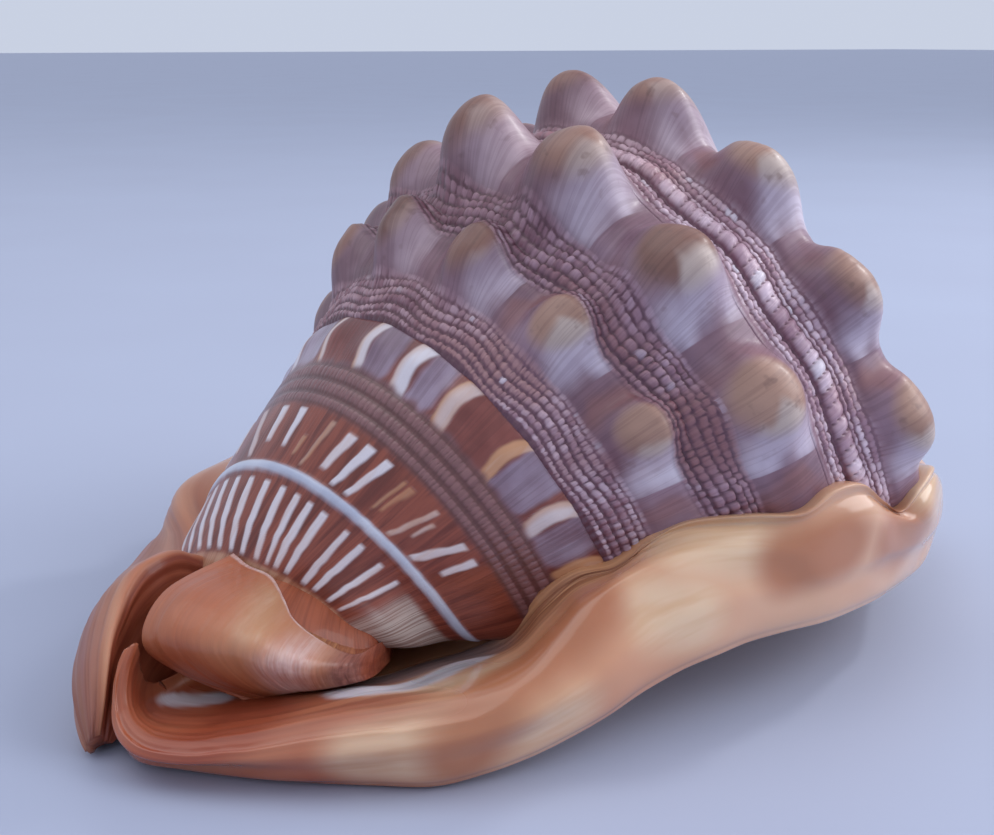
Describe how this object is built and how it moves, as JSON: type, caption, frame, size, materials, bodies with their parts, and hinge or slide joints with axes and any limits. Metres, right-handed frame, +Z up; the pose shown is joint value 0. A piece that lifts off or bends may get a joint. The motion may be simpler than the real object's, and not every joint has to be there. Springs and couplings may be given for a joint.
{
  "type": "bullmouth helmet shell",
  "caption": "Large knobbed helmet sea shell lying on its aperture, with a rolled callus shield, a thick outer lip and a curled canal.",
  "frame": {"origin": "middle of the bounding box, on the surface that the shell rests on", "axes": "+Z up, +X towards the spire, -X towards the canal, -Y towards the shield, +Y towards the outer lip"},
  "size_m": [0.1476, 0.1194, 0.0824],
  "materials": {
    "shell": "natural shell: lilac, brown and white ribbed back, glossy peach-orange callus"
  },
  "bodies": {
    "root": {"shell": "shell"}
  },
  "joints": []
}
